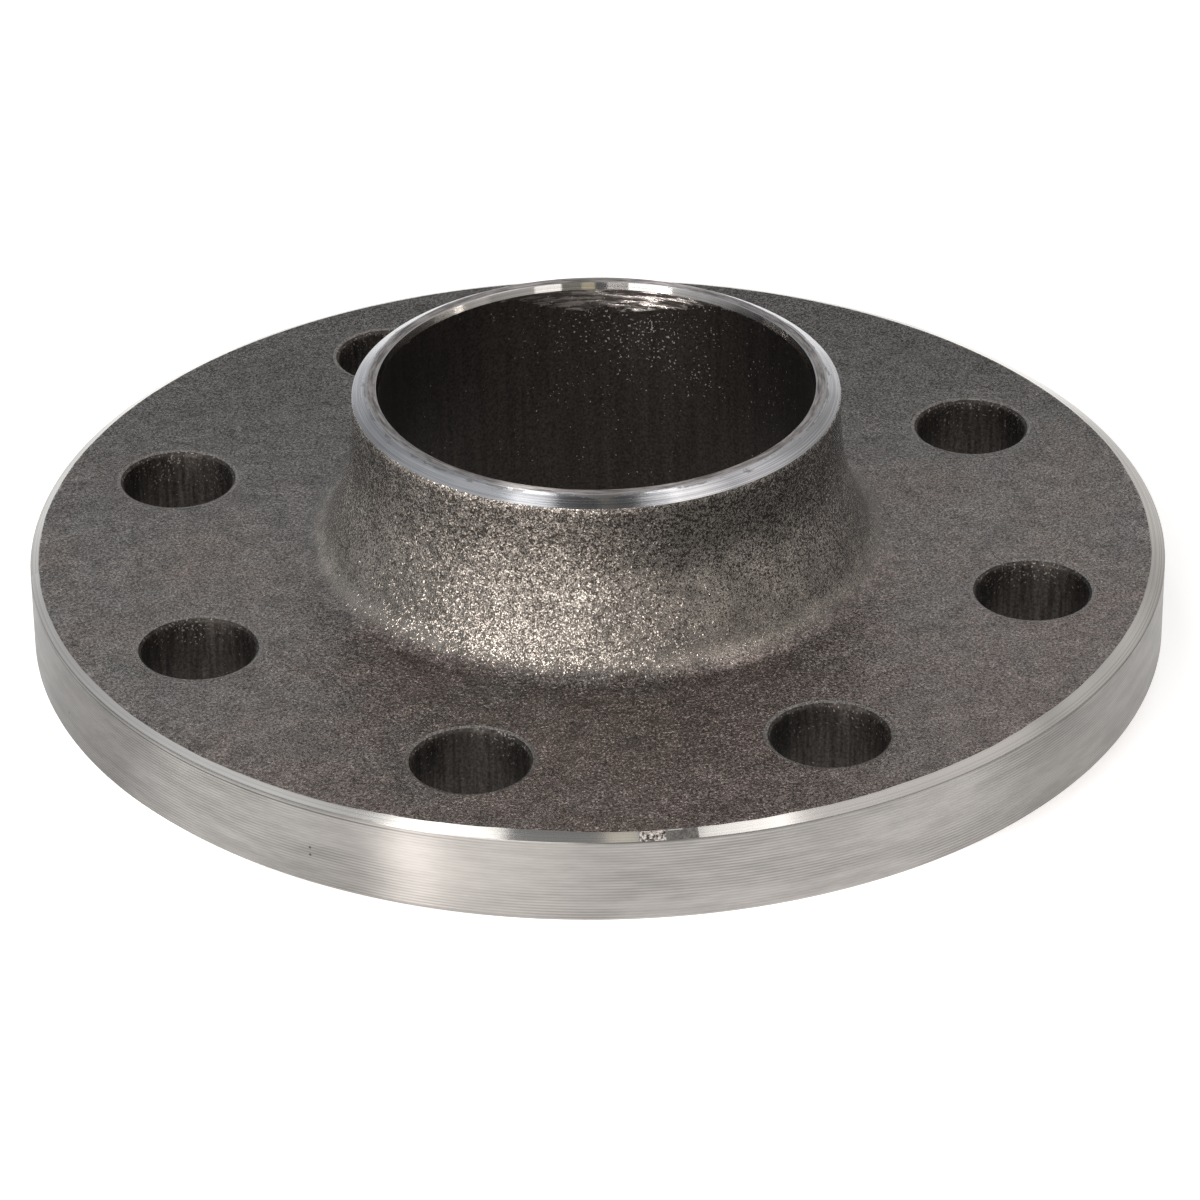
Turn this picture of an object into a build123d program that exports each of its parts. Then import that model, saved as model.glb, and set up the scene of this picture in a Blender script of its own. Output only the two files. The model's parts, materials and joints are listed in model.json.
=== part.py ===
"""A weld neck pipe flange, DN 65 PN 16, forged and turned from one piece of steel.

The flange lies on its gasket face. Z runs along the bore, from the gasket face at zero to the weld end.
All sizes are in millimetres.
"""

import os
from math import radians, tan

from build123d import *

# Weld end
overall_height = 46.0
weld_end_diameter = 79.0
weld_end_wall = 4.35  # leaves a bore of 70.3
weld_end_straight = 5.1  # straight length above the flare, with the bevel
weld_bevel_angle = 30.0  # degrees from the end face
root_face_width = 1.55  # flat land between the bevel and the bore
bore_lead_width = 0.35  # turned lead into the bore at the weld end
bore_lead_height = 1.25
bore_front_edge = 0.5  # deburred edge at the gasket face

# Hub, which flares out from the weld end to the back face
hub_flare_width = 6.3  # gives a hub of 91.6 where the flare would meet the back face
hub_foot_radius = 6.0

# Bolt holes, which straddle the main axes
bolt_circle_diameter = 145.0
bolt_hole_diameter = 18.0
bolt_hole_count = 8
bolt_hole_back_edge = 0.6  # edge worn back by the shot blasting
bolt_hole_front_edge = 0.5  # deburred edge

# Flange ring
flange_thickness = 18.0  # from the gasket face to the back face
rim_land = 11.0  # from a bolt hole to the rim, which gives an outside diameter of 185
back_chamfer_width = 1.9  # radial size of the turned chamfer round the back face
back_chamfer_height = 0.8
front_rim_edge = 0.7  # deburred edge round the front

# Raised gasket face
raised_face_height = 3.0
raised_face_land = 2.5  # from the raised face to a bolt hole, which gives a face of 122
raised_face_edge = 0.3
raised_face_foot_radius = 0.8

bolt_circle = bolt_circle_diameter / 2
bolt_hole = bolt_hole_diameter / 2
rim = bolt_circle + bolt_hole + rim_land
raised_face = bolt_circle - bolt_hole - raised_face_land
weld_end = weld_end_diameter / 2
hub_base = weld_end + hub_flare_width
bore = weld_end - weld_end_wall


def weld_end_outline():
    """The weld end in half section, from the flare's top over the bevel and the land into the bore."""
    land_inside = bore + bore_lead_width
    land_outside = land_inside + root_face_width
    bevel_height = (weld_end - land_outside) * tan(radians(weld_bevel_angle))
    return Polyline(
        (weld_end, 0, overall_height - weld_end_straight),
        (weld_end, 0, overall_height - bevel_height),
        (land_outside, 0, overall_height),
        (land_inside, 0, overall_height),
        (bore, 0, overall_height - bore_lead_height),
    )


def ring_outline():
    """The bore, the raised face and the ring in half section, from the bore's top to the hub's base."""
    return Polyline(
        (bore, 0, overall_height - bore_lead_height),
        (bore, 0, bore_front_edge),
        (bore + bore_front_edge, 0, 0),
        (raised_face - raised_face_edge, 0, 0),
        (raised_face, 0, raised_face_edge),
        (raised_face, 0, raised_face_height),
        (rim - front_rim_edge, 0, raised_face_height),
        (rim, 0, raised_face_height + front_rim_edge),
        (rim, 0, flange_thickness - back_chamfer_height),
        (rim - back_chamfer_width, 0, flange_thickness),
        (hub_base, 0, flange_thickness),
    )


def hub_flare():
    """The hub's outside in half section: one arc that leaves the weld end straight down."""
    top = (weld_end, 0, overall_height - weld_end_straight)
    return TangentArc(top, (hub_base, 0, flange_thickness), tangent=(0, 0, -1))


def rounded(section, radius, height, fillet_radius):
    """The section with a fillet on its corner at that radius and height."""
    corner = section.vertices().sort_by_distance(Vector(radius, 0, height))[0]
    return fillet(corner, fillet_radius)


def turned_body():
    """The flange as it leaves the lathe, before it is drilled."""
    section = make_face(Curve() + [weld_end_outline(), ring_outline(), hub_flare()])
    section = rounded(section, hub_base, flange_thickness, hub_foot_radius)
    section = rounded(section, raised_face, raised_face_height, raised_face_foot_radius)
    return revolve(section, Axis.Z)


def drilled_hole():
    """One bolt hole as a solid, broken outwards at both faces."""
    outline = Polyline(
        (0, 0, raised_face_height),
        (bolt_hole + bolt_hole_front_edge, 0, raised_face_height),
        (bolt_hole, 0, raised_face_height + bolt_hole_front_edge),
        (bolt_hole, 0, flange_thickness - bolt_hole_back_edge),
        (bolt_hole + bolt_hole_back_edge, 0, flange_thickness),
        (0, 0, flange_thickness),
        close=True,
    )
    return revolve(make_face(outline), Axis.Z)


def weld_neck_flange():
    """The whole flange as one solid."""
    half_pitch = 180 / bolt_hole_count
    places = PolarLocations(bolt_circle, bolt_hole_count, start_angle=half_pitch)
    return turned_body() - [place * drilled_hole() for place in places]


os.makedirs("parts", exist_ok=True)
export_step(weld_neck_flange(), "parts/flange.step")
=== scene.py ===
"""The finished look of a weld neck flange: its forged skin, its turned faces, and a plain studio round it.

Lengths are in metres, apart from the patterns in the materials, which are in millimetres.
"""

import json
from math import asin, atan2, cos, degrees, exp, hypot, pi, radians, sin, tan

import bmesh
import bpy
from bpy.props import FloatProperty, FloatVectorProperty, PointerProperty
from mathutils import Matrix, Vector, noise


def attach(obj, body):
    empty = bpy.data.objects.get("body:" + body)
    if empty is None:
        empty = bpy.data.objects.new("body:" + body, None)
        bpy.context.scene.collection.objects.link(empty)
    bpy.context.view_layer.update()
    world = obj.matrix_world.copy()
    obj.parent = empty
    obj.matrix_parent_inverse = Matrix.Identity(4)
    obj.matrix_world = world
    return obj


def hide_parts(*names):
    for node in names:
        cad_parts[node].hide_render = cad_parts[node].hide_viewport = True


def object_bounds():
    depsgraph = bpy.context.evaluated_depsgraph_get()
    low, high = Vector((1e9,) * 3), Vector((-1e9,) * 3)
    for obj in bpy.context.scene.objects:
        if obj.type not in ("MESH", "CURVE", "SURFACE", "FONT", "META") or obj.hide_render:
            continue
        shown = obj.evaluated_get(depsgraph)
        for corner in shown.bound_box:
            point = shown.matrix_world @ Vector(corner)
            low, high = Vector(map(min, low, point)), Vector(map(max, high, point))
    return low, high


bl_info = {
    "name": "Weld Neck Flange",
    "version": (1, 0, 0),
    "blender": (4, 5, 0),
    "location": "View3D > Sidebar > Flange",
    "description": "Dresses a packed weld neck flange in forged and turned steel and lights it",
    "category": "Object",
}

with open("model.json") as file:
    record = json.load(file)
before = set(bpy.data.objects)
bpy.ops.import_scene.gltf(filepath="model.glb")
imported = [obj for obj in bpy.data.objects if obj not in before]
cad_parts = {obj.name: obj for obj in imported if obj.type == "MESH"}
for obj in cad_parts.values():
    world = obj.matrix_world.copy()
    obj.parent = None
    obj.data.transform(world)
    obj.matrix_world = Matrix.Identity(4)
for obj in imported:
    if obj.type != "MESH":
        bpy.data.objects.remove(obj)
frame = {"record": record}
cad_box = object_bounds()
mounts = {mount["name"]: mount for mount in frame["record"]["mounts"]}

MM = 0.001

RIM = cad_box[1].x
TOP = cad_box[1].z
BOLT_CIRCLE = mounts["bolt_circle"]["dims"]["pcd_mm"] / 2 * MM
BOLT_HOLE = mounts["bolt_circle"]["dims"]["hole_r_mm"] * MM
HOLE_COUNT = mounts["bolt_circle"]["dims"]["count"]
BORE = mounts["bore"]["dims"]["r_mm"] * MM
SECTOR = 2 * pi / HOLE_COUNT

# How finely the mesh is divided
SECTOR_STEPS = 60  # round one bolt hole's share of the ring
LAND_STEPS = 26  # across the band that holds the bolt holes
BACK_RINGS, FRONT_RINGS, WALL_RINGS = 11, 2, 4  # round a bolt hole, and down its wall
COLLAR = 1.5  # the first ring round a bolt hole, in widths of its edge
WORN_SHARE = 0.25  # how far down its rounded edge a bolt hole is worn bright
SKIN_STEP = 0.75 * MM
FOOT_STEP = 0.42 * MM
CHAMFER_STEP = 0.6 * MM
TURNED_STEP = 2 * MM
BORE_STEP = 4 * MM
HIDDEN_STEP = 6 * MM
NEAR = 0.002 * MM
SHARP = radians(22)

# A shallow dent on the right of the hub
HUB_DENT = Vector((30.7, -27.8, 28.0)) * MM

# Radius of the crease round the hub's foot
FOOT_CREASE = 48.4 * MM

# Small pits in the rim, in millimetres
RIM_PITS = ((-88.0, -28.6, 8.2), (-53.4, -75.6, 9.8), (-53.4, -75.6, 8.5))

# Studio lights as the camera sees them: name, place and size in metres, power in watts, tint
OVERHEAD_LIGHTS = (
    ("left_softbox", (-0.207, 0.255, 1.0), (0.155, 0.33), 0.42, (1.0, 0.99, 0.97)),
    ("right_softbox", (0.20, 0.235, 1.0), (0.145, 0.27), 0.24, (1.0, 0.98, 0.96)),
    ("small_softbox", (0.315, 0.06, 1.0), (0.11, 0.09), 0.03, (1.0, 0.93, 0.86)),
    ("wide_softbox", (0.455, -0.03, 1.0), (0.27, 0.30), 0.31, (1.0, 0.94, 0.90)),
    ("far_softbox", (0.50, 0.42, 1.0), (0.46, 0.42), 0.19, (1.0, 0.95, 0.93)),
)
FRONT_LIGHTS = (
    ("front_softbox", (-0.779, -1.091, 0.64), (0.21, 0.8), 10.0, (1.0, 0.96, 0.92)),
    ("front_fill", (-0.436, -1.267, 0.64), (0.66, 0.8), 8.2, (1.0, 0.96, 0.92)),
)

# Finishes, in the order of the flange's material slots
SKIN, RIM_TURNING, CHAMFER, BEVEL, LAND, LEAD, BORE_SKIN, DRILLED, WORN_EDGE, FACING = range(10)


def length(name, description, default):
    """A size in metres that a user can change."""
    return FloatProperty(name=name, description=description, default=default, min=0, unit="LENGTH")


def colour(name, description, default):
    """A colour that a user can change."""
    return FloatVectorProperty(
        name=name, description=description, default=default, size=3, subtype="COLOR", min=0, max=1
    )


class FlangeSizes(bpy.types.PropertyGroup):
    """Sizes of the flange's section that the frame doesn't give."""

    ring_thickness: length("Ring thickness", "Gasket face to back face", 18 * MM)
    rim_land: length("Rim land", "Metal between a bolt hole and the rim", 11 * MM)
    back_chamfer_width: length("Chamfer width", "Turned chamfer round the back face", 1.9 * MM)
    back_chamfer_height: length("Chamfer height", "Turned chamfer round the back face", 0.8 * MM)
    front_rim_edge: length("Front rim edge", "Deburred edge round the front", 0.7 * MM)
    raised_height: length("Raised face height", "How far the gasket face stands proud", 3 * MM)
    raised_land: length("Raised face land", "Raised face to the bolt holes", 2.5 * MM)
    raised_edge: length("Raised face edge", "Broken edge of the gasket face", 0.3 * MM)
    raised_foot: length("Raised face foot", "Corner radius behind the gasket face", 0.8 * MM)
    hole_back_edge: length("Hole back edge", "Rounded edge of a bolt hole", 1.1 * MM)
    hole_front_edge: length("Hole front edge", "Deburred edge of a bolt hole", 0.5 * MM)
    hub_flare: length("Hub flare", "How far the hub widens to the back face", 6.3 * MM)
    hub_foot: length("Hub foot", "Radius between the hub and the back face", 6 * MM)
    weld_wall: length("Weld end wall", "Thickness of the weld end", 4.35 * MM)
    weld_straight: length("Weld end straight", "Straight length above the flare", 5.1 * MM)
    root_land: length("Root land", "Flat land between the bevel and the bore", 1.55 * MM)
    lead_width: length("Lead width", "Turned lead into the bore", 0.35 * MM)
    lead_height: length("Lead height", "Turned lead into the bore", 1.25 * MM)
    bore_front_edge: length("Bore front edge", "Deburred edge at the gasket face", 0.5 * MM)
    bevel_angle: FloatProperty(
        name="Weld bevel", description="From the end face", default=radians(30), subtype="ANGLE"
    )
    broken_edge: length("Broken edge", "Width of the turned corners' fine edge", 0.12 * MM)
    hole_margin: length("Hole margin", "Ring of the back face that is meshed round a bolt hole", 3.3 * MM)


class FlangeFinish(bpy.types.PropertyGroup):
    """Colours of the steel's surfaces."""

    skin_cold: colour("Skin, cold", "Greyer patches of the forged back face", (0.160, 0.149, 0.142))
    skin_warm: colour("Skin, warm", "Browner patches of the forged back face", (0.180, 0.150, 0.138))
    skin_hub: colour("Skin, hub", "The hub's yellowish forged skin", (0.176, 0.158, 0.141))
    bright: colour("Bright steel", "Freshly turned steel", (0.62, 0.60, 0.575))
    bevel: colour("Bevel steel", "The weld bevel's cooler steel", (0.575, 0.58, 0.605))
    land: colour("Land steel", "The darker land at the weld end", (0.38, 0.355, 0.35))
    dull: colour("Dull steel", "Turned steel with a little tarnish", (0.50, 0.455, 0.43))
    satin: colour("Satin steel", "The rim's coarser turning", (0.262, 0.250, 0.238))
    scale: colour("Scale", "Dark scale inside the bore", (0.036, 0.031, 0.028))
    drilled: colour("Drilled steel", "Oiled walls of the bolt holes", (0.064, 0.057, 0.052))


class StageSettings(bpy.types.PropertyGroup):
    """The camera, the floor and the lights."""

    distance: length("Camera distance", "From the back face's centre", 0.92693)
    azimuth: FloatProperty(
        name="Azimuth", description="Round from the flange's front", default=radians(-6.73), subtype="ANGLE"
    )
    elevation: FloatProperty(
        name="Elevation", description="Above the floor", default=radians(29.613), subtype="ANGLE"
    )
    pan: FloatProperty(
        name="Pan", description="Turn to the left from the aim", default=radians(-0.019), subtype="ANGLE"
    )
    tilt: FloatProperty(
        name="Tilt", description="Turn upwards from the aim", default=radians(-0.676), subtype="ANGLE"
    )
    roll: FloatProperty(
        name="Roll", description="Turn about the line of sight", default=radians(0.559), subtype="ANGLE"
    )
    lens: FloatProperty(name="Lens", description="Focal length in millimetres", default=170.0)
    floor_colour: colour("Floor", "Pale studio floor", (0.92, 0.92, 0.92))


def drawn_on(mesh, start, steps, **motion):
    """Leads a half section on by equal steps of a turn or a shift, and returns its new end."""
    made = bmesh.ops.spin(mesh, geom=[start], axis=(0, 1, 0), steps=steps, use_merge=False, **motion)
    return next(part for part in made["geom_last"] if isinstance(part, bmesh.types.BMVert))


def draw_line(mesh, start, radius, height, spacing=None):
    """Leads a half section on in a straight line."""
    way = Vector((radius, 0, height)) - start.co
    steps = max(1, round(way.length / spacing)) if spacing else 1
    return drawn_on(mesh, start, steps, dvec=way / steps)


def draw_arc(mesh, start, centre, turn, spacing):
    """Leads a half section on round a centre."""
    steps = max(2, round(abs(turn) * (start.co - centre).length / spacing))
    return drawn_on(mesh, start, steps, cent=centre, angle=turn)


def raised_face(sizes):
    """The raised face's radius."""
    return BOLT_CIRCLE - BOLT_HOLE - sizes.raised_land


def hole_band(sizes):
    """Inner and outer radius of the back face's band that is meshed round the bolt holes."""
    return BOLT_CIRCLE - BOLT_HOLE - sizes.hole_margin, BOLT_CIRCLE + BOLT_HOLE + sizes.hole_margin


def front_band(sizes):
    """The same band on the front, where it starts at the foot of the raised face."""
    return raised_face(sizes) + sizes.raised_foot + sizes.broken_edge, hole_band(sizes)[1]


def outer_section(mesh, sizes):
    """The rim in half section, from the back face round to the front. Returns its corners to break."""
    back = sizes.ring_thickness
    front = sizes.raised_height
    start = bmesh.ops.create_vert(mesh, co=(hole_band(sizes)[1], 0, back))["vert"][0]
    inner_edge = draw_line(mesh, start, RIM - sizes.back_chamfer_width, back, SKIN_STEP)
    outer_edge = draw_line(mesh, inner_edge, RIM, back - sizes.back_chamfer_height, CHAMFER_STEP)
    lower_edge = draw_line(mesh, outer_edge, RIM, front + sizes.front_rim_edge, TURNED_STEP)
    front_edge = draw_line(mesh, lower_edge, RIM - sizes.front_rim_edge, front)
    draw_line(mesh, front_edge, front_band(sizes)[1], front, HIDDEN_STEP)
    return [inner_edge, outer_edge, lower_edge, front_edge]


def hub_section(mesh, sizes):
    """The hub and weld end in half section, back face to bore. Returns its corners and its end."""
    back = sizes.ring_thickness
    weld_end = BORE + sizes.weld_wall
    flare_top = TOP - sizes.weld_straight
    flare = ((flare_top - back) ** 2 + sizes.hub_flare**2) / (2 * sizes.hub_flare)
    foot_height = back + sizes.hub_foot
    flare_turn = asin((flare_top - foot_height) / (flare - sizes.hub_foot))
    foot = weld_end + flare - (flare - sizes.hub_foot) * cos(flare_turn)

    start = bmesh.ops.create_vert(mesh, co=(hole_band(sizes)[0], 0, back))["vert"][0]
    hub_foot = draw_line(mesh, start, foot, back, FOOT_STEP)
    hub = draw_arc(mesh, hub_foot, Vector((foot, 0, foot_height)), pi / 2 - flare_turn, FOOT_STEP)
    neck = draw_arc(mesh, hub, Vector((weld_end + flare, 0, flare_top)), flare_turn, SKIN_STEP)

    land_inside = BORE + sizes.lead_width
    land_outside = land_inside + sizes.root_land
    bevel_foot = TOP - (weld_end - land_outside) * tan(sizes.bevel_angle)
    bevel_start = draw_line(mesh, neck, weld_end, bevel_foot, SKIN_STEP)
    bevel_end = draw_line(mesh, bevel_start, land_outside, TOP, CHAMFER_STEP)
    land_end = draw_line(mesh, bevel_end, land_inside, TOP, CHAMFER_STEP)
    lead_end = draw_line(mesh, land_end, BORE, TOP - sizes.lead_height, CHAMFER_STEP)
    return [bevel_start, bevel_end, land_end], lead_end


def bore_section(mesh, sizes, start):
    """The bore and the raised gasket face in half section."""
    raised = raised_face(sizes)
    front = sizes.raised_height
    bore_end = draw_line(mesh, start, BORE, sizes.bore_front_edge, BORE_STEP)
    face_start = draw_line(mesh, bore_end, BORE + sizes.bore_front_edge, 0)
    face_end = draw_line(mesh, face_start, raised - sizes.raised_edge, 0, HIDDEN_STEP)
    step_start = draw_line(mesh, face_end, raised, sizes.raised_edge)
    step_end = draw_line(mesh, step_start, raised, front - sizes.raised_foot)
    foot_centre = Vector((raised + sizes.raised_foot, 0, front - sizes.raised_foot))
    step_foot = draw_arc(mesh, step_end, foot_centre, pi / 2, CHAMFER_STEP)
    draw_line(mesh, step_foot, front_band(sizes)[0], front)


def turn_sector(mesh):
    """Turns the half section through one bolt hole's share of the ring, which lies about the X axis."""
    half = Matrix.Rotation(-SECTOR / 2, 3, "Z")
    bmesh.ops.rotate(mesh, cent=(0, 0, 0), matrix=half, verts=mesh.verts)
    section = mesh.verts[:] + mesh.edges[:]
    bmesh.ops.spin(
        mesh, geom=section, cent=(0, 0, 0), axis=(0, 0, 1), angle=SECTOR, steps=SECTOR_STEPS, use_merge=False
    )


def circle_edges(mesh, centre, radius, height):
    """The edges along a level circle whose middle lies on the X axis or above it."""

    def on_circle(vertex):
        place = vertex.co
        return abs(hypot(place.x - centre, place.y) - radius) < NEAR and abs(place.z - height) < NEAR

    return [edge for edge in mesh.edges if all(on_circle(vertex) for vertex in edge.verts)]


def band_outline(mesh, radii, height):
    """The closed outline of the mesh round one bolt hole: two arcs of the turned ring and two sides."""
    arcs = [circle_edges(mesh, 0, radius, height) for radius in radii]
    ends = [sorted({v for e in arc for v in e.verts}, key=lambda v: v.co.y)[::SECTOR_STEPS] for arc in arcs]
    for inner, outer in zip(*ends):
        last = drawn_on(mesh, inner, LAND_STEPS - 1, dvec=(outer.co - inner.co) / LAND_STEPS)
        bmesh.ops.contextual_create(mesh, geom=[last, outer])
    return [*arcs[0], *arcs[1], *(e for e in mesh.edges if e.is_wire)]


def drill_mouth(mesh, outline, height, edge, rings):
    """Fills the mesh between the band's outline and the bolt hole on one face of the ring."""
    centre = Vector((BOLT_CIRCLE, 0, height))
    collar = BOLT_HOLE + edge * COLLAR
    inward = bmesh.ops.extrude_edge_only(mesh, edges=outline)["geom"]
    inner = [part for part in inward if isinstance(part, bmesh.types.BMVert)]
    for vertex in inner:
        vertex.co = centre + (vertex.co - centre).normalized() * collar
    spokes = [e for vertex in inner for e in vertex.link_edges if e.other_vert(vertex) not in inner]
    bmesh.ops.subdivide_edges(mesh, edges=spokes, cuts=rings - 1, use_grid_fill=True)
    mouth = bmesh.ops.extrude_edge_only(mesh, edges=circle_edges(mesh, BOLT_CIRCLE, collar, height))["geom"]
    verts = [part for part in mouth if isinstance(part, bmesh.types.BMVert)]
    narrow = BOLT_HOLE / collar
    bmesh.ops.scale(mesh, vec=(narrow, narrow, 1), space=Matrix.Translation(-centre), verts=verts)


def drill_hole(mesh, sizes):
    """Fills the band of the sector on both faces, round the bolt hole between them."""
    back, front = sizes.ring_thickness, sizes.raised_height
    for height, radii, edge, rings in (
        (back, hole_band(sizes), sizes.hole_back_edge, BACK_RINGS),
        (front, front_band(sizes), sizes.hole_front_edge, FRONT_RINGS),
    ):
        drill_mouth(mesh, band_outline(mesh, radii, height), height, edge, rings)
    mouths = [circle_edges(mesh, BOLT_CIRCLE, BOLT_HOLE, height) for height in (back, front)]
    wall = bmesh.ops.bridge_loops(mesh, edges=[*mouths[0], *mouths[1]])
    bmesh.ops.subdivide_edges(mesh, edges=wall["edges"], cuts=WALL_RINGS - 1, use_grid_fill=True)
    bmesh.ops.recalc_face_normals(mesh, faces=mesh.faces)
    for height, edge, segments in ((back, sizes.hole_back_edge, 3), (front, sizes.hole_front_edge, 1)):
        mouth = circle_edges(mesh, BOLT_CIRCLE, BOLT_HOLE, height)
        bmesh.ops.bevel(
            mesh, geom=mouth, offset=edge, offset_type="OFFSET", segments=segments, profile=0.5,
            affect="EDGES", material=-1, clamp_overlap=True,
        )


def repeat_sector(mesh):
    """Repeats the sector round the ring, joins the copies, and sets the holes astride the main axes."""
    sector = mesh.verts[:] + mesh.edges[:] + mesh.faces[:]
    bmesh.ops.spin(
        mesh, geom=sector, cent=(0, 0, 0), axis=(0, 0, 1), angle=SECTOR * (HOLE_COUNT - 1),
        steps=HOLE_COUNT - 1, use_duplicate=True,
    )
    bmesh.ops.remove_doubles(mesh, verts=mesh.verts, dist=NEAR)
    bmesh.ops.rotate(mesh, cent=(0, 0, 0), matrix=Matrix.Rotation(SECTOR / 2, 3, "Z"), verts=mesh.verts)
    bmesh.ops.recalc_face_normals(mesh, faces=mesh.faces)


def finish_at(sizes, place):
    """Which finish a face has, by where its middle lies."""
    radius = hypot(place.x, place.y)
    back = sizes.ring_thickness
    land_outside = BORE + sizes.lead_width + sizes.root_land
    bevel_foot = TOP - (BORE + sizes.weld_wall - land_outside) * tan(sizes.bevel_angle)
    if place.z < sizes.raised_height + NEAR or radius < BORE + NEAR and place.z < sizes.bore_front_edge:
        return FACING
    if radius > RIM - sizes.back_chamfer_width:
        return CHAMFER if place.z > back - sizes.back_chamfer_height else RIM_TURNING
    if radius < BORE + NEAR:
        return BORE_SKIN
    if radius < BORE + sizes.lead_width:
        return LEAD
    if place.z > TOP - NEAR:
        return LAND
    if place.z > bevel_foot:
        return BEVEL
    if place.z < back - sizes.hole_back_edge * WORN_SHARE:
        return DRILLED if radius < BOLT_CIRCLE + BOLT_HOLE + sizes.hole_back_edge else RIM_TURNING
    if place.z < back - NEAR and abs(radius - BOLT_CIRCLE) < BOLT_HOLE + sizes.hole_back_edge:
        return WORN_EDGE
    return SKIN


def hump(value, middle, width):
    """A smooth hump of height 1 round a middle value."""
    return exp(-(((value - middle) / width) ** 2))


def skin_relief(place):
    """How far the forged skin stands out at a place, from the die's wear, the shot and small pits."""
    waves = ((0.085, 15.0), (0.045, 5.5), (0.030, 2.4))
    rise = sum(depth * noise.noise(place / (size * MM)) for depth, size in waves)
    pits = noise.voronoi(place / (3.4 * MM))[0][0]
    dent = 0.22 * hump((place - HUB_DENT).length, 0.0, 3.8 * MM)
    return (rise - 0.10 * max(0.0, 0.22 - pits) - dent) * MM


def foot_crease(place, back):
    """The crease where the hub's foot runs out, deepest in front on the right, with a pocket and a lip."""
    radius = hypot(place.x, place.y)
    around = Vector((place.x, place.y, 0)) / radius
    turn = degrees(atan2(place.x, -place.y))
    line = FOOT_CREASE + 1.2 * MM * noise.noise(around * 4)
    depth = 0.03 + 0.08 * hump(turn, 25, 14) + 0.06 * noise.noise(around * 7 + Vector((3, 5, 0)))
    fade = max(0.0, 1 - (place.z - back) / (3 * MM))
    crease = max(0.0, depth) * hump(radius, line, 0.6 * MM)
    pocket = 0.35 * hump(turn, -46, 5) * hump(radius, 47.6 * MM, 1.4 * MM)
    lip = 0.20 * hump(turn, 20, 4.5) * hump(radius, 46.4 * MM, 0.8 * MM)
    return (lip - crease - pocket) * fade * MM


def run_chamfer_off_true(mesh, sizes):
    """Widens and narrows the turned chamfer round the ring, as the forged face under it lies high or low."""
    width, height = sizes.back_chamfer_width, sizes.back_chamfer_height
    inner = hole_band(sizes)[1]
    for vertex in mesh.verts:
        place = vertex.co
        radius = hypot(place.x, place.y)
        if place.z < sizes.ring_thickness - height + NEAR or radius < inner:
            continue
        on_cone = (RIM - radius) / width
        share = on_cone if on_cone < 1 else 1 - (RIM - width - radius) / (RIM - width - inner)
        around = Vector((place.x, place.y, 0)) / radius
        lean = max(-1.0, min(1.0, 1.4 * place.x / RIM))
        wave = 0.16 * noise.noise(around * 7) + 0.07 * noise.noise(around * 31)
        sag = 0.32 * hump(place.x, -24 * MM, 16 * MM)
        wider = share * (0.05 + 0.50 * lean + sag + wave) * MM
        vertex.co += Vector((0, 0, wider * height / width)) - around * wider


def forge(mesh, sizes):
    """Roughens the forged skin, which leaves the turned faces true."""
    mesh.normal_update()
    skin = [v for v in mesh.verts if all(f.material_index == SKIN for f in v.link_faces)]
    back = sizes.ring_thickness
    moves = [(v, v.normal * (skin_relief(v.co) + foot_crease(v.co, back))) for v in skin]
    for vertex, move in moves:
        vertex.co += move


def flange_mesh(sizes):
    """The whole flange as one closed mesh."""
    mesh = bmesh.new()
    rim_corners = outer_section(mesh, sizes)
    hub_corners, bore_start = hub_section(mesh, sizes)
    bore_section(mesh, sizes, bore_start)
    bmesh.ops.bevel(
        mesh, geom=rim_corners + hub_corners, offset=sizes.broken_edge, offset_type="OFFSET", segments=1,
        profile=0.5, affect="VERTICES", material=-1, clamp_overlap=True,
    )
    turn_sector(mesh)
    drill_hole(mesh, sizes)
    repeat_sector(mesh)
    for face in mesh.faces:
        face.material_index = finish_at(sizes, face.calc_center_median())
        face.smooth = True
    forge(mesh, sizes)
    run_chamfer_off_true(mesh, sizes)
    open_edges = [e for e in mesh.edges if not e.is_manifold]
    if open_edges:
        raise RuntimeError(f"the flange isn't closed: {len(open_edges)} open edges")
    mesh.normal_update()
    for edge in mesh.edges:
        one, other = edge.link_faces
        edge.smooth = one.material_index == other.material_index and edge.calc_face_angle(0) < SHARP
    return mesh


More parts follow.
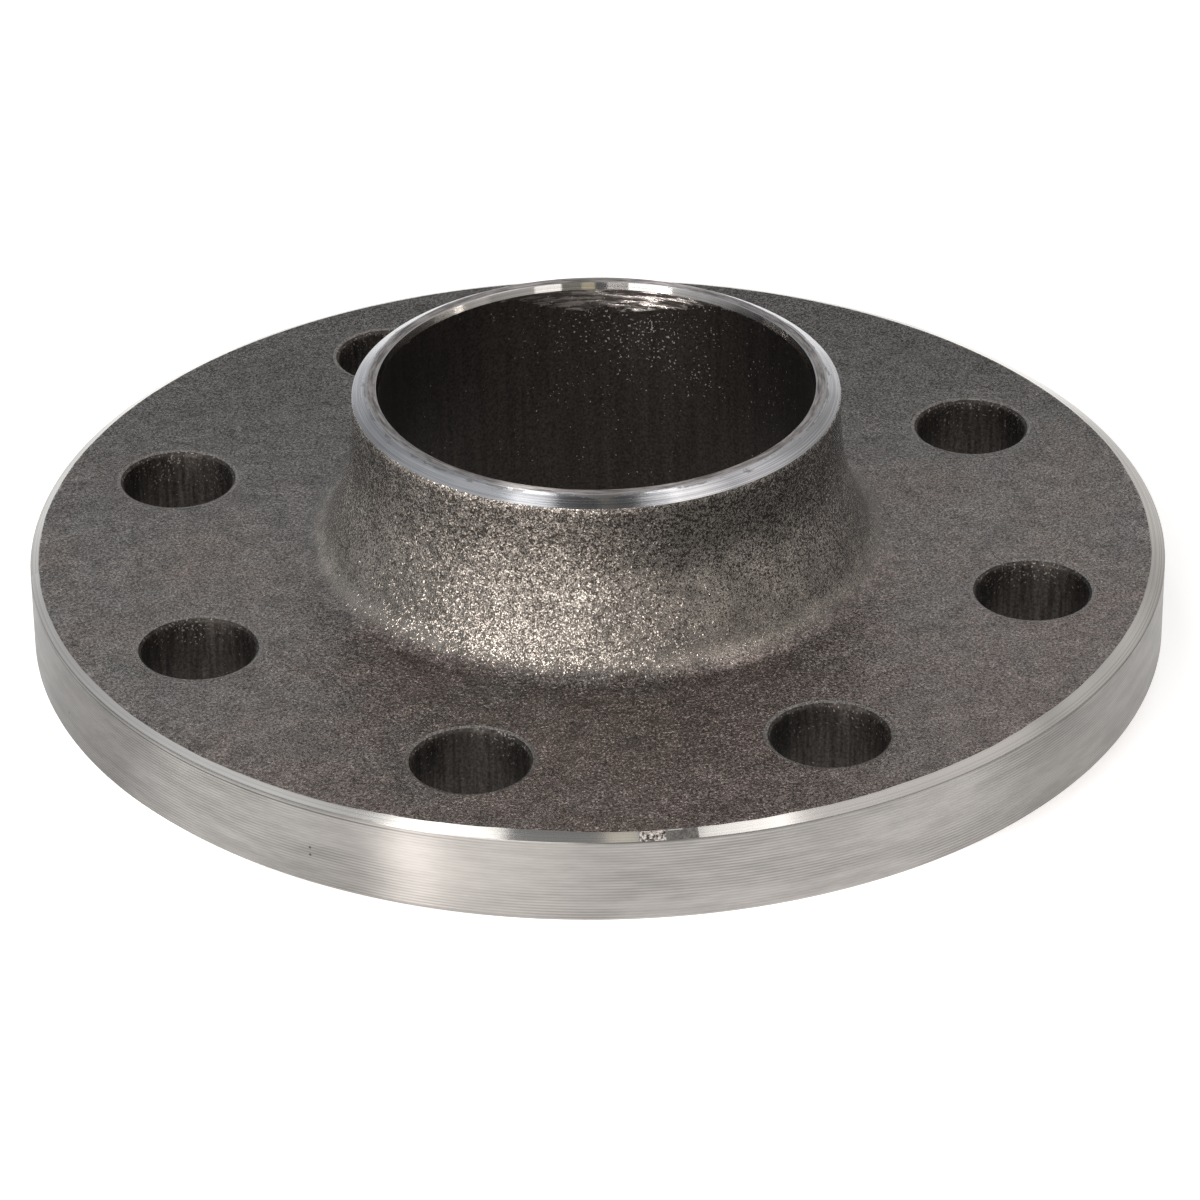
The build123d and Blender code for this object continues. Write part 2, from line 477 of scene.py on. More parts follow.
class Finish:
    """One material's node tree, with short calls for the nodes that the finishes share."""

    def __init__(self, name, metallic=1.0):
        self.material = bpy.data.materials.new(name)
        self.material.use_nodes = True
        self.nodes = self.material.node_tree.nodes
        self.links = self.material.node_tree.links
        self.shader = self.nodes["Principled BSDF"]
        self.shader.inputs["Metallic"].default_value = metallic
        place = self.nodes.new("ShaderNodeTexCoord").outputs["Object"]
        self.place = self.vector("MULTIPLY", place, (1 / MM,) * 3)

    def feed(self, socket, value):
        """Links a socket, or sets it to a plain value."""
        if isinstance(value, bpy.types.NodeSocket):
            self.links.new(value, socket)
        elif value is not None:
            socket.default_value = value

    def vector(self, operation, first, second=None):
        node = self.nodes.new("ShaderNodeVectorMath")
        node.operation = operation
        self.feed(node.inputs[0], first)
        self.feed(node.inputs[1], second)
        return node.outputs["Value" if operation in ("LENGTH", "DISTANCE") else "Vector"]

    def math(self, operation, first, second=None, clamp=False):
        node = self.nodes.new("ShaderNodeMath")
        node.operation = operation
        node.use_clamp = clamp
        self.feed(node.inputs[0], first)
        self.feed(node.inputs[1], second)
        return node.outputs[0]

    def times(self, first, second):
        """Two values multiplied."""
        return self.math("MULTIPLY", first, second)

    def axes(self, vector):
        """The three parts of a vector."""
        node = self.nodes.new("ShaderNodeSeparateXYZ")
        self.feed(node.inputs[0], vector)
        return node.outputs

    def joined(self, x, y, z):
        """A vector from three parts."""
        node = self.nodes.new("ShaderNodeCombineXYZ")
        for socket, value in zip(node.inputs, (x, y, z)):
            self.feed(socket, value)
        return node.outputs[0]

    def round_the_axis(self, turns=1.0):
        """The place unrolled about the bore: radius, angle times turns, and height."""
        x, y, z = self.axes(self.place)
        flat = self.joined(x, y, 0.0)
        angle = self.math("ARCTAN2", y, x)
        return self.joined(self.vector("LENGTH", flat), self.times(angle, turns), z)

    def noise(self, size, detail=2.0, rough=0.5, place=None, stretch=(1, 1, 1), bend=0.0):
        """Soft noise from 0 to 1, with features about that many millimetres wide."""
        node = self.nodes.new("ShaderNodeTexNoise")
        scaled = self.vector("MULTIPLY", place or self.place, tuple(s / size for s in stretch))
        self.feed(node.inputs["Vector"], scaled)
        node.inputs["Scale"].default_value = 1.0
        node.inputs["Detail"].default_value = detail
        node.inputs["Roughness"].default_value = rough
        node.inputs["Distortion"].default_value = bend
        return node.outputs[0]

    def cells(self, size, feature="F1", place=None, stretch=(1, 1, 1)):
        """Distance to the middle of the nearest cell, with cells about that many millimetres wide."""
        node = self.nodes.new("ShaderNodeTexVoronoi")
        node.feature = feature
        scaled = self.vector("MULTIPLY", place or self.place, tuple(s / size for s in stretch))
        self.feed(node.inputs["Vector"], scaled)
        node.inputs["Scale"].default_value = 1.0
        return node.outputs[0]

    def remap(self, value, low, high, to_low=0.0, to_high=1.0):
        """A value's range from low to high, spread over another range and held inside it."""
        node = self.nodes.new("ShaderNodeMapRange")
        node.interpolation_type = "SMOOTHSTEP"
        for socket, number in zip(node.inputs, (value, low, high, to_low, to_high)):
            self.feed(socket, number)
        return node.outputs[0]

    def window(self, value, low, high, soft):
        """1 between two values, with soft ends, and 0 elsewhere."""
        rise = self.remap(value, low - soft, low + soft)
        fall = self.remap(value, high - soft, high + soft, 1.0, 0.0)
        return self.times(rise, fall)

    def mix(self, share, first, second, blend="MIX"):
        """Two colours mixed."""
        node = self.nodes.new("ShaderNodeMix")
        node.data_type = "RGBA"
        node.blend_type = blend
        self.feed(node.inputs["Factor"], share)
        colours = (socket for socket in node.inputs if socket.type == "RGBA")
        for socket, value in zip(colours, (first, second)):
            self.feed(socket, self.opaque(value))
        return next(socket for socket in node.outputs if socket.type == "RGBA")

    def shaded(self, colour, shade):
        """A colour made darker or paler."""
        return self.mix(1.0, colour, self.joined(shade, shade, shade), blend="MULTIPLY")

    @staticmethod
    def opaque(value):
        """A colour with its alpha, or the socket as it is."""
        return value if isinstance(value, bpy.types.NodeSocket) else (*value, 1.0)

    def bump(self, height, depth, normal=None):
        """A bump whose height of 1 stands that many millimetres high."""
        node = self.nodes.new("ShaderNodeBump")
        node.inputs["Strength"].default_value = 1.0
        node.inputs["Distance"].default_value = depth * MM
        self.feed(node.inputs["Height"], height)
        if normal is not None:
            self.feed(node.inputs["Normal"], normal)
        return node.outputs[0]

    def facets(self, size, tilt, normal, crisp=False):
        """A normal that leans at random from grain to grain, softly or with crisp edges between them."""
        node = self.nodes.new("ShaderNodeTexVoronoi" if crisp else "ShaderNodeTexNoise")
        self.feed(node.inputs["Vector"], self.vector("MULTIPLY", self.place, (1 / size,) * 3))
        node.inputs["Scale"].default_value = 1.0
        node.inputs["Detail"].default_value = 0.0 if crisp else 1.0
        offset = self.vector("SUBTRACT", node.outputs["Color"], (0.5,) * 3)
        lean = self.vector("MULTIPLY", offset, (tilt,) * 3)
        return self.vector("NORMALIZE", self.vector("ADD", normal, lean))

    def paint(self, colour, roughness, normal=None):
        """Wires the finish's colour, roughness and bump to the shader."""
        self.feed(self.shader.inputs["Base Color"], self.opaque(colour))
        self.feed(self.shader.inputs["Roughness"], roughness)
        if normal is not None:
            self.feed(self.shader.inputs["Normal"], normal)
        return self.material


def skin_grain(skin, hub):
    """The forged skin's fine grain, coarser on the back face and calmer on the hub's left."""
    x = skin.axes(skin.place)[0]
    on_face = skin.noise(0.42, detail=3.0, rough=0.75)
    on_hub = skin.noise(0.26, detail=3.0, rough=0.75)
    calm = skin.times(hub, skin.remap(x, 2.0, 26.0, 1.0, 0.25))
    darkest = skin.remap(calm, 0.0, 1.0, 0.50, 0.78)
    palest = skin.remap(calm, 0.0, 1.0, 2.3, 1.66)
    return skin.remap(skin.remap(hub, 0.0, 1.0, on_face, on_hub), 0.38, 0.73, darkest, palest)


def hub_painted_light(skin, hub):
    """How bright the hub is painted from place to place: painted highlights, most at its foot, just under
    the bevel and on its front left, and painted shade on its right and up its neck.
    """
    x, y, z = skin.axes(skin.place)
    # Painted highlight on the left of the hub's front, painted shade towards its right, and more painted
    # light low at the foot.
    around = skin.times(skin.remap(x, -12.0, 6.0, 1.14, 0.90), skin.remap(x, 6.0, 42.0, 1.0, 0.72))
    around = skin.times(around, skin.remap(z, 19.6, 21.5, 1.35, 1.0))
    # Painted shade up the neck: darkest on its right and at its far left.
    neck = skin.times(skin.remap(x, -14.0, 12.0, 1.08, 0.54), skin.remap(x, -41.0, -31.0, 0.52, 1.0))
    around = skin.times(skin.remap(hub, 0.0, 1.0, 1.0, around), skin.remap(z, 29.0, 37.0, 1.0, neck))
    radius = skin.axes(skin.round_the_axis())[0]
    # A painted pool of light on the foot, in front and to the right.
    foot = skin.times(skin.window(radius, 45.2, 47.9, 0.7), skin.window(x, 4.0, 28.0, 6.0))
    foot = skin.times(foot, skin.remap(y, -30.0, -12.0, 0.45, 0.0))
    around = skin.times(around, skin.math("ADD", foot, 1.0))
    # A painted glint line just under the bevel.
    return skin.times(around, skin.remap(z, 43.5, 44.1, 1.0, 1.9))


def forged_skin(finish):
    """Shot-blasted forged steel: small bright facets over shallow dents, and greyer and browner patches,
    leaning browner towards the front as a painted stand-in for the sheen; painted shade towards the back and
    up the neck, and painted light and shade over the hub.
    """
    skin = Finish("forged_skin", metallic=0.8)
    y, z = list(skin.axes(skin.place))[1:]
    clouds = skin.noise(24.0, detail=3.0, rough=0.6)
    # Greyer and browner at random, and leaning browner towards the front: that lean is painted, for the
    # sheen showing more of the skin's own colour in front.
    browner = skin.remap(skin.math("ADD", clouds, skin.times(y, -0.003)), 0.42, 0.76)
    tone = skin.mix(browner, tuple(finish.skin_cold), tuple(finish.skin_warm))
    hub = skin.remap(z, 18.15, 19.6)
    tone = skin.mix(hub, tone, tuple(finish.skin_hub))
    patches = skin.noise(4.5, detail=5.0, rough=0.7, bend=0.5)
    shade = skin.times(skin.remap(patches, 0.3, 0.7, 0.75, 1.28), skin_grain(skin, hub))
    # Painted shade: darker towards the back of the flange and up the neck.
    painted_back_and_neck_shade = skin.times(skin.remap(y, -10.0, 75.0, 1.04, 0.54), skin.remap(z, 29.0, 40.0, 1.0, 0.63))
    shade = skin.times(shade, skin.times(painted_back_and_neck_shade, hub_painted_light(skin, hub)))
    normal = skin.bump(skin.noise(1.1, detail=2.0, rough=0.6), 0.19, skin.bump(patches, 0.28))
    normal = skin.facets(0.30, 0.60, skin.facets(0.22, 1.4, normal), crisp=True)
    return skin.paint(skin.shaded(tone, shade), 0.19, normal)


def turned_steel(name):
    """A finish whose glints are spread across the rings that a lathe tool leaves."""
    steel = Finish(name)
    steel.shader.inputs["Anisotropic"].default_value = 1.0
    steel.shader.inputs["Anisotropic Rotation"].default_value = 0.25
    tangent = steel.nodes.new("ShaderNodeTangent")
    tangent.direction_type, tangent.axis = "RADIAL", "Z"
    steel.feed(steel.shader.inputs["Tangent"], tangent.outputs[0])
    return steel


def fine_turning(name, tone, roughness, pitch, depth):
    """Bright turned steel with fine rings. Returns the finish, its colour, roughness and normal."""
    steel = turned_steel(name)
    unrolled = steel.round_the_axis(turns=6.0)
    rings = steel.noise(pitch, detail=2.0, place=unrolled, stretch=(1, 0.02, 1))
    drift = steel.noise(9.0, detail=3.0, place=unrolled, stretch=(0.6, 4.0, 0.6))
    shade = steel.times(steel.remap(drift, 0.3, 0.7, 0.90, 1.06), steel.remap(rings, 0.3, 0.7, 0.86, 1.08))
    colour = steel.shaded(tone, shade)
    rough = steel.remap(drift, 0.3, 0.7, roughness * 0.9, roughness * 1.15)
    return steel, colour, rough, steel.bump(rings, depth)


def turned(name, tone, roughness, pitch, depth):
    """Bright turned steel with fine rings and nothing else on it."""
    steel, colour, rough, normal = fine_turning(name, tone, roughness, pitch, depth)
    return steel.paint(colour, rough, normal)


def turned_bevel(finish):
    """The weld bevel, with long fine lines and a ragged, smudged edge where it meets the land."""
    steel, colour, rough, normal = fine_turning("turned_bevel", tuple(finish.bevel), 0.15, 0.16, 0.001)
    unrolled = steel.round_the_axis(turns=BORE / MM)
    radius = steel.axes(unrolled)[0]
    lines = steel.noise(0.22, detail=2.0, place=unrolled, stretch=(1, 0.012, 1))
    shade = steel.remap(lines, 0.35, 0.65, 0.80, 1.12)
    colour = steel.shaded(colour, shade)
    smudges = steel.noise(1.6, detail=4.0, rough=0.7, place=unrolled, stretch=(1, 0.35, 1))
    inward = steel.math("SUBTRACT", 38.3, radius)
    ragged = steel.remap(steel.math("ADD", steel.times(inward, 0.16), smudges), 0.66, 0.72)
    burr = steel.remap(radius, 37.10, 37.24, 1.0, 0.0)
    share = steel.times(ragged, steel.math("SUBTRACT", 0.75, burr, clamp=True))
    colour = steel.mix(share, colour, tuple(finish.satin))
    return steel.paint(colour, steel.math("ADD", rough, steel.times(ragged, 0.15)), normal)


def turned_land(finish):
    """The land at the weld end, darker and rougher than the bevel, with streaks round it."""
    steel, colour, rough, normal = fine_turning("turned_land", tuple(finish.land), 0.32, 0.16, 0.002)
    unrolled = steel.round_the_axis(turns=BORE / MM)
    streaks = steel.noise(0.5, detail=4.0, rough=0.7, place=unrolled, stretch=(1, 0.10, 1))
    shade = steel.remap(streaks, 0.35, 0.65, 0.55, 1.70)
    colour = steel.shaded(colour, shade)
    return steel.paint(colour, rough, normal)


def turned_chamfer(finish):
    """The turned chamfer, which is torn at one spot in front and roughly ground beside it, with a painted
    reflection paler to the left and right and a burr painted near white as a glint.
    """
    steel, colour, rough, normal = fine_turning("turned_chamfer", tuple(finish.bright), 0.14, 0.16, 0.001)
    x, y, _ = steel.axes(steel.place)
    # Painted reflection: paler towards the left and the right of the chamfer, and less pale at the far
    # right.
    painted_reflection = steel.times(steel.remap(x, -60.0, -44.0, 1.5, 1.0), steel.remap(x, 60.0, 70.0, 1.0, 1.45))
    painted_reflection = steel.times(painted_reflection, steel.remap(x, 78.0, 88.0, 1.0, 0.75))
    colour = steel.shaded(colour, painted_reflection)
    front = steel.math("LESS_THAN", y, 0.0)
    torn = steel.times(front, steel.window(x, -4.9, -0.9, 0.15))
    ground = steel.times(front, steel.window(x, -0.9, 4.0, 0.10))
    crumbs = steel.noise(0.55, detail=3.0, rough=0.7)
    shade = steel.remap(crumbs, 0.38, 0.62, 0.08, 1.7)
    colour = steel.mix(torn, colour, steel.shaded(tuple(finish.dull), shade))
    shade = steel.remap(crumbs, 0.35, 0.65, 0.7, 1.4)
    colour = steel.mix(ground, colour, steel.shaded(tuple(finish.satin), shade))
    radius = steel.axes(steel.round_the_axis())[0]
    # The burr on the ground stretch's upper edge is painted near white: a real burr with a painted glint on
    # it.
    burr = steel.times(steel.window(x, -0.5, 1.7, 0.10), steel.remap(radius, 90.72, 90.84, 1.0, 0.0))
    colour = steel.mix(steel.times(burr, ground), colour, (1.0, 0.98, 0.95))
    rough = steel.math("ADD", rough, steel.times(steel.math("ADD", torn, ground), 0.28))
    crumbled = steel.times(crumbs, steel.math("ADD", torn, steel.times(ground, 0.25)))
    return steel.paint(colour, rough, steel.bump(crumbled, 0.40, normal))


def turned_rim(finish):
    """The rim, with a coarse feed's even grooves, short pale smears, pits and a line under its edge, and
    painted shade at its far left and on its right.
    """
    steel = turned_steel("turned_rim")
    unrolled = steel.round_the_axis(turns=RIM / MM)
    height = steel.axes(unrolled)[2]
    wander = steel.noise(40.0, detail=2.0, place=unrolled, stretch=(1, 1, 3.0))
    groove = steel.math("ADD", steel.times(height, 2 * pi / 0.5), steel.times(wander, 5.0))
    lines = steel.math("ADD", steel.times(steel.math("SINE", groove), 0.5), 0.5)
    depths = steel.noise(30.0, detail=1.0, place=unrolled, stretch=(1, 1, 4.0))
    deep = steel.remap(depths, 0.35, 0.65, 0.10, 0.36)
    shade = steel.math("SUBTRACT", 1.12, steel.times(lines, deep))
    smear = steel.noise(9.0, detail=4.0, rough=0.7, place=unrolled, stretch=(1, 1, 6.0))
    shade = steel.times(shade, steel.remap(smear, 0.32, 0.68, 0.94, 1.08))
    x = steel.axes(steel.place)[0]
    # Painted shade: darker at the far left of the rim and towards its right.
    shade = steel.times(shade, steel.remap(x, -84.0, -70.0, 0.74, 1.0))
    shade = steel.times(shade, steel.remap(x, 42.0, 62.0, 1.0, 0.90))
    left = steel.remap(x, -50.0, -24.0, 1.0, 0.0)
    line = steel.times(left, steel.window(height, 16.35, 16.60, 0.08))
    shade = steel.times(shade, steel.math("SUBTRACT", 1.0, steel.times(line, 0.5)))
    for place in RIM_PITS:
        pit = steel.remap(steel.vector("DISTANCE", steel.place, place), 0.12, 0.30, 0.25, 1.0)
        shade = steel.times(shade, pit)
    colour = steel.shaded(tuple(finish.satin), shade)
    return steel.paint(colour, steel.remap(smear, 0.3, 0.7, 0.34, 0.30), steel.bump(lines, 0.012))


def dark_wall(name, tone, streak, contrast, pale, spots, where):
    """Dark wall of the bore or a bolt hole, with faint streaks along it and pale specks in places."""
    wall = Finish(name)
    grain = wall.noise(0.45, detail=3.0, rough=0.7)
    streaks = wall.noise(streak, detail=3.0, stretch=(1, 1, 0.07))
    streaked = wall.remap(streaks, 0.3, 0.7, 1.0 - contrast, 1.0 + contrast)
    shade = wall.times(streaked, wall.remap(grain, 0.3, 0.7, 0.60, 1.45))
    colour = wall.shaded(tone, shade)
    scatter = wall.math("ADD", wall.times(wall.noise(9.0, detail=1.0), 0.22), where(wall))
    fleck = wall.remap(wall.math("ADD", wall.noise(0.42, detail=1.0), scatter), 0.96, 1.0)
    colour = wall.mix(wall.times(fleck, spots), colour, pale)
    relief = wall.math("ADD", wall.times(streaks, 0.25), wall.times(grain, 0.6))
    return wall, colour, wall.bump(relief, 0.10)


def upper_right_of_bore(wall):
    """How many more specks the bore's wall has: most high up on the right, seen from the front."""
    x, _, z = wall.axes(wall.place)
    share = wall.times(wall.window(x, -4.0, 27.0, 14.0), wall.remap(z, 14.0, 34.0))
    return wall.math("ADD", wall.times(share, 0.11), 0.08)


def near_the_mouth(wall):
    """How many more specks a bolt hole's wall has towards the back face."""
    z = wall.axes(wall.place)[2]
    return wall.remap(z, 9.0, 17.0, 0.08, 0.20)


def forged_bore(finish):
    """The dark bore, whose top is caught in places by the tool that turned the lead."""
    wall, colour, normal = dark_wall(
        "forged_bore", tuple(finish.scale), 1.6, 0.14, tuple(finish.dull), 0.8, upper_right_of_bore
    )
    x, y, height = wall.axes(wall.place)
    unrolled = wall.round_the_axis(turns=BORE / MM)
    depth = wall.math("SUBTRACT", TOP / MM, height)
    nearby = wall.times(wall.window(x, -6.0, 19.0, 7.0), wall.remap(y, 10.0, 20.0))
    patches = wall.noise(2.4, detail=4.0, rough=0.75, place=unrolled, stretch=(1, 0.55, 1.5))
    reach = wall.math("ADD", wall.times(patches, 5.0), wall.times(nearby, 3.6))
    caught = wall.remap(wall.math("SUBTRACT", reach, depth), 1.2, 1.6)
    brushed = wall.noise(0.8, detail=3.0, rough=0.7, place=unrolled, stretch=(1, 0.12, 1.2))
    caught = wall.times(caught, wall.remap(brushed, 0.44, 0.60, 0.12, 1.0))
    caught = wall.times(caught, wall.remap(x, -8.0, 9.0, 0.35, 1.0))
    colour = wall.mix(caught, colour, tuple(finish.dull))
    lean = wall.joined(0.0, 0.0, wall.times(caught, 0.26))
    normal = wall.vector("NORMALIZE", wall.vector("ADD", normal, lean))
    return wall.paint(colour, wall.remap(caught, 0.0, 1.0, 0.50, 0.26), normal)


def drilled_hole(finish):
    """The bolt holes' drilled walls, with more specks near the mouth."""
    wall, colour, normal = dark_wall(
        "drilled_hole", tuple(finish.drilled), 0.7, 0.34, tuple(finish.dull), 0.6, near_the_mouth
    )
    return wall.paint(colour, 0.50, normal)


def worn_edge(finish):
    """The bolt holes' rounded edge, which the shot has left bright and grainy."""
    edge = Finish("worn_edge", metallic=0.9)
    grain = edge.noise(0.30, detail=2.0, rough=0.75)
    shade = edge.remap(grain, 0.38, 0.66, 0.45, 1.6)
    colour = edge.shaded(tuple(finish.satin), shade)
    return edge.paint(colour, 0.28, edge.facets(0.28, 0.9, edge.bump(grain, 0.10)))


def flange_materials(finish):
    """The finishes in the order of the mesh's slots."""
    bright, dull = tuple(finish.bright), tuple(finish.dull)
    return [
        forged_skin(finish),
        turned_rim(finish),
        turned_chamfer(finish),
        turned_bevel(finish),
        turned_land(finish),
        turned("turned_lead", bright, 0.11, 0.16, 0.001),
        forged_bore(finish),
        drilled_hole(finish),
        worn_edge(finish),
        turned("turned_face", dull, 0.30, 0.80, 0.020),
    ]


class FLANGE_OT_make_flange(bpy.types.Operator):
    """Model the flange with its forged and turned surfaces"""

    bl_idname = "flange.make_flange"
    bl_label = "Make Flange"

    def execute(self, context):
        scene = context.scene
        mesh = flange_mesh(scene.flange_sizes)
        data = bpy.data.meshes.new("weld_neck_flange")
        mesh.to_mesh(data)
        mesh.free()
        for material in flange_materials(scene.flange_finish):
            data.materials.append(material)
        flange = bpy.data.objects.new("weld_neck_flange", data)
        scene.collection.objects.link(flange)
        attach(flange, "root")
        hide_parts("flange")
        return {"FINISHED"}


def softbox(stage, name, place, size, power, tint, overhead=True):
    """A rectangular studio light, placed as the camera sees it, which faces down or else the flange."""
    data = bpy.data.lights.new(name, "AREA")
    data.shape = "RECTANGLE"
    data.size, data.size_y = size
    data.energy = power
    data.color = tint
    light = bpy.data.objects.new(name, data)
    light.location = Matrix.Rotation(stage.azimuth, 3, "Z") @ Vector(place)
    light.rotation_mode = "QUATERNION"
    if overhead:
        light.rotation_quaternion = Matrix.Rotation(stage.azimuth, 3, "Z").to_quaternion()
    else:
        light.rotation_quaternion = (-light.location).to_track_quat("-Z", "Y")
    bpy.context.scene.collection.objects.link(light)


def studio_camera(stage, thickness):
    """The camera at the photograph's angle, aimed near the middle of the back face."""
    data = bpy.data.cameras.new("camera")
    data.lens = stage.lens
    data.sensor_width = 36.0
    camera = bpy.data.objects.new("camera", data)
    e, a = stage.elevation, stage.azimuth
    back = Vector((sin(a) * cos(e), -cos(a) * cos(e), sin(e)))
    turned_to = (-back).to_track_quat("-Z", "Y").to_matrix()
    turned_to @= Matrix.Rotation(stage.pan, 3, "Y")
    turned_to @= Matrix.Rotation(stage.tilt, 3, "X")
    turned_to @= Matrix.Rotation(-stage.roll, 3, "Z")
    camera.location = Vector((0, 0, thickness)) + back * stage.distance
    camera.rotation_mode = "QUATERNION"
    camera.rotation_quaternion = turned_to.to_quaternion()
    bpy.context.scene.collection.objects.link(camera)
    bpy.context.scene.camera = camera


def studio_floor(stage):
    """A plain pale floor just under the gasket face, which glows evenly and glows more in painted pools of
    light in front and on the left.
    """
    mesh = bmesh.new()
    bmesh.ops.create_grid(
        mesh, x_segments=1, y_segments=1, size=3.0, matrix=Matrix.Translation((0, 0, -0.02 * MM))
    )
    data = bpy.data.meshes.new("floor")
    mesh.to_mesh(data)
    mesh.free()
    paper = Finish("floor_paper", metallic=0.0)
    x, y, _ = paper.axes(paper.place)
    # Painted pools of light: the floor glows more in front and on the left.
    lit = paper.times(paper.remap(y, -95.0, -65.0, 1.0, 0.0), paper.remap(x, -45.0, 0.0))
    on_left = paper.times(paper.remap(y, -52.0, -36.0, 1.0, 0.0), paper.remap(x, -74.0, -60.0, 1.0, 0.0))
    lit = paper.math("ADD", lit, on_left)
    paper.shader.inputs["Emission Color"].default_value = (1.0, 1.0, 1.0, 1.0)
    paper.feed(paper.shader.inputs["Emission Strength"], paper.math("ADD", paper.times(lit, 0.6), 0.5))
    data.materials.append(paper.paint(tuple(stage.floor_colour), 0.4))
    floor = bpy.data.objects.new("floor", data)
    bpy.context.scene.collection.objects.link(floor)


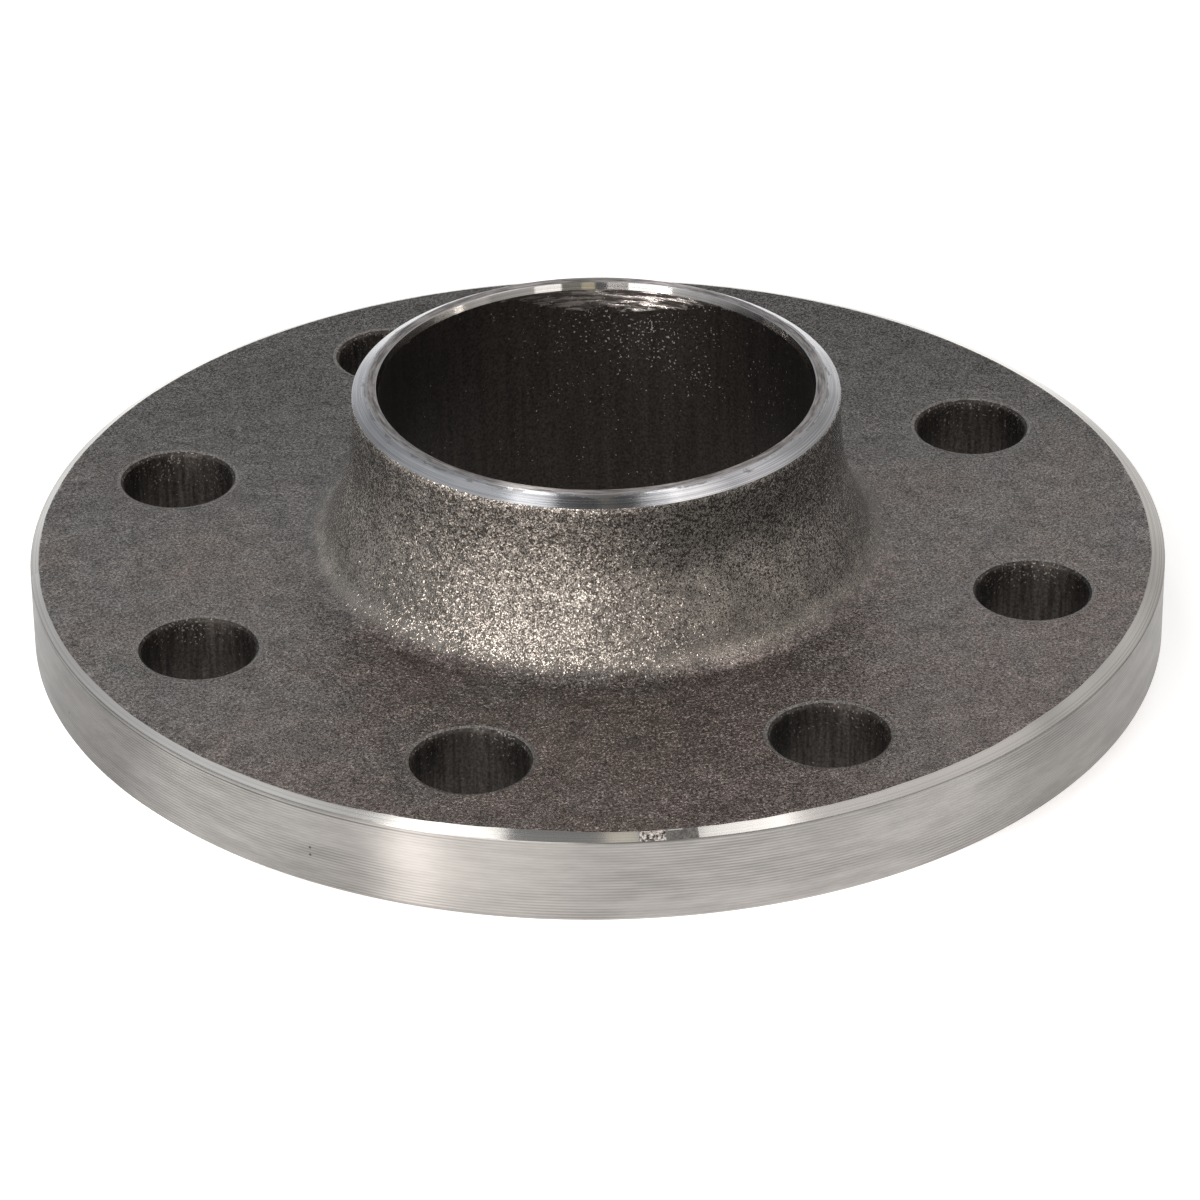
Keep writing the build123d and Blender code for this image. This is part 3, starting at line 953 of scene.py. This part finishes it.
def studio_world(stage):
    """Pale surroundings: a dark strip and a beige patch overhead, and low screens round the camera."""
    world = bpy.data.worlds.new("studio")
    bpy.context.scene.world = world
    world.use_nodes = True
    nodes, links = world.node_tree.nodes, world.node_tree.links
    background = nodes["Background"]

    def math(operation, first, second):
        node = nodes.new("ShaderNodeMath")
        node.operation = operation
        for socket, value in zip(node.inputs, (first, second)):
            if isinstance(value, bpy.types.NodeSocket):
                links.new(value, socket)
            else:
                socket.default_value = value
        return node.outputs[0]

    def fade(value, low, high, to_low, to_high):
        node = nodes.new("ShaderNodeMapRange")
        node.interpolation_type = "SMOOTHSTEP"
        links.new(value, node.inputs[0])
        for socket, number in zip(list(node.inputs)[1:], (low, high, to_low, to_high)):
            socket.default_value = number
        return node.outputs[0]

    def bands(value, interpolation, stops):
        """Colours along a direction that runs from -1 on the left to 1 on the right."""
        node = nodes.new("ShaderNodeValToRGB")
        node.color_ramp.interpolation = interpolation
        links.new(math("ADD", math("MULTIPLY", value, 0.5), 0.5), node.inputs[0])
        ramp = node.color_ramp.elements
        for place, tint in stops:
            stop = ramp.new((place + 1) / 2)
            stop.color = (*tint, 1.0)
        ramp.remove(ramp[-1])
        ramp.remove(ramp[0])
        return node.outputs[0]

    def blend(share, first, second):
        node = nodes.new("ShaderNodeMix")
        node.data_type = "RGBA"
        links.new(share, node.inputs["Factor"])
        colours = (socket for socket in node.inputs if socket.type == "RGBA")
        for socket, value in zip(colours, (first, second)):
            links.new(value, socket)
        return next(socket for socket in node.outputs if socket.type == "RGBA")

    turn = nodes.new("ShaderNodeVectorRotate")
    turn.rotation_type = "Z_AXIS"
    turn.inputs["Angle"].default_value = -stage.azimuth
    links.new(nodes.new("ShaderNodeTexCoord").outputs["Generated"], turn.inputs["Vector"])
    parts = nodes.new("ShaderNodeSeparateXYZ")
    links.new(turn.outputs[0], parts.inputs[0])
    x, y, z = parts.outputs
    across = math("MULTIPLY", fade(x, -0.175, -0.155, 0.0, 1.0), fade(x, 0.17, 0.27, 1.0, 0.0))
    along = math("MULTIPLY", fade(z, 0.72, 0.84, 0.0, -0.95), fade(y, 0.12, 0.17, 1.0, 0.34))
    dark = math("MULTIPLY", across, along)
    across = math("MULTIPLY", fade(x, 0.004, 0.008, 0.0, 1.0), fade(x, 0.046, 0.050, 1.0, 0.0))
    along = math("MULTIPLY", fade(z, 0.5, 0.6, 0.0, 1.0), fade(y, 0.15, 0.17, 0.0, 1.0))
    gap = math("MULTIPLY", across, along)
    dark = math("MULTIPLY", dark, math("SUBTRACT", 1.0, gap))
    strip = math("ADD", dark, math("MULTIPLY", gap, 0.85))
    height = math("MULTIPLY", fade(z, 0.10, 0.50, 1.15, 0.64), math("ADD", strip, 1.0))
    behind = math("MULTIPLY", fade(y, 0.1, 0.7, 1.0, 0.66), fade(x, -0.9, -0.4, 0.72, 1.0))
    low_front = math("MULTIPLY", fade(z, 0.18, 0.24, 1.0, 0.0), fade(y, -0.6, -0.5, 1.0, 0.0))
    power = math("MULTIPLY", behind, math("ADD", math("MULTIPLY", low_front, 0.7), 1.0))
    links.new(math("MULTIPLY", height, power), background.inputs["Strength"])
    room = bands(x, "LINEAR", (
        (-0.99, (0.93, 0.97, 1.0)), (0.0, (0.98, 0.98, 0.98)), (0.99, (1.0, 0.96, 0.93)),
    ))
    screens = bands(x, "CONSTANT", (
        (-0.99, (0.50, 0.50, 0.51)), (-0.587, (1.0, 1.0, 1.0)), (-0.293, (0.03, 0.03, 0.035)),
        (0.0, (0.32, 0.29, 0.20)), (0.114, (0.12, 0.12, 0.10)), (0.285, (1.0, 0.98, 0.96)),
        (0.505, (0.34, 0.33, 0.32)),
    ))
    beige = nodes.new("ShaderNodeRGB").outputs[0]
    beige.default_value = (1.0, 0.94, 0.83, 1.0)
    links.new(blend(gap, blend(low_front, room, screens), beige), background.inputs["Color"])


class FLANGE_OT_make_stage(bpy.types.Operator):
    """Set up the floor, the lights and the camera"""

    bl_idname = "flange.make_stage"
    bl_label = "Make Stage"

    def execute(self, context):
        scene = context.scene
        stage = scene.flange_stage
        studio_floor(stage)
        studio_world(stage)
        studio_camera(stage, scene.flange_sizes.ring_thickness)
        for light in OVERHEAD_LIGHTS:
            softbox(stage, *light)
        for light in FRONT_LIGHTS:
            softbox(stage, *light, overhead=False)
        scene.view_settings.view_transform = "Standard"
        return {"FINISHED"}


class FLANGE_PT_sidebar(bpy.types.Panel):
    """Sidebar panel with the flange's sizes, colours and stage"""

    bl_label = "Weld Neck Flange"
    bl_idname = "FLANGE_PT_sidebar"
    bl_space_type = "VIEW_3D"
    bl_region_type = "UI"
    bl_category = "Flange"

    def draw(self, context):
        scene = context.scene
        for group in (scene.flange_sizes, scene.flange_finish, scene.flange_stage):
            box = self.layout.box()
            for name in group.__annotations__:
                box.prop(group, name)
        self.layout.operator(FLANGE_OT_make_flange.bl_idname)
        self.layout.operator(FLANGE_OT_make_stage.bl_idname)


CLASSES = (
    FlangeSizes,
    FlangeFinish,
    StageSettings,
    FLANGE_OT_make_flange,
    FLANGE_OT_make_stage,
    FLANGE_PT_sidebar,
)


def register():
    for entry in CLASSES:
        bpy.utils.register_class(entry)
    bpy.types.Scene.flange_sizes = PointerProperty(type=FlangeSizes)
    bpy.types.Scene.flange_finish = PointerProperty(type=FlangeFinish)
    bpy.types.Scene.flange_stage = PointerProperty(type=StageSettings)


def unregister():
    del bpy.types.Scene.flange_stage
    del bpy.types.Scene.flange_finish
    del bpy.types.Scene.flange_sizes
    for entry in reversed(CLASSES):
        bpy.utils.unregister_class(entry)


def main():
    register()
    bpy.ops.flange.make_flange()
    bpy.ops.flange.make_stage()


if __name__ == "__main__":
    main()
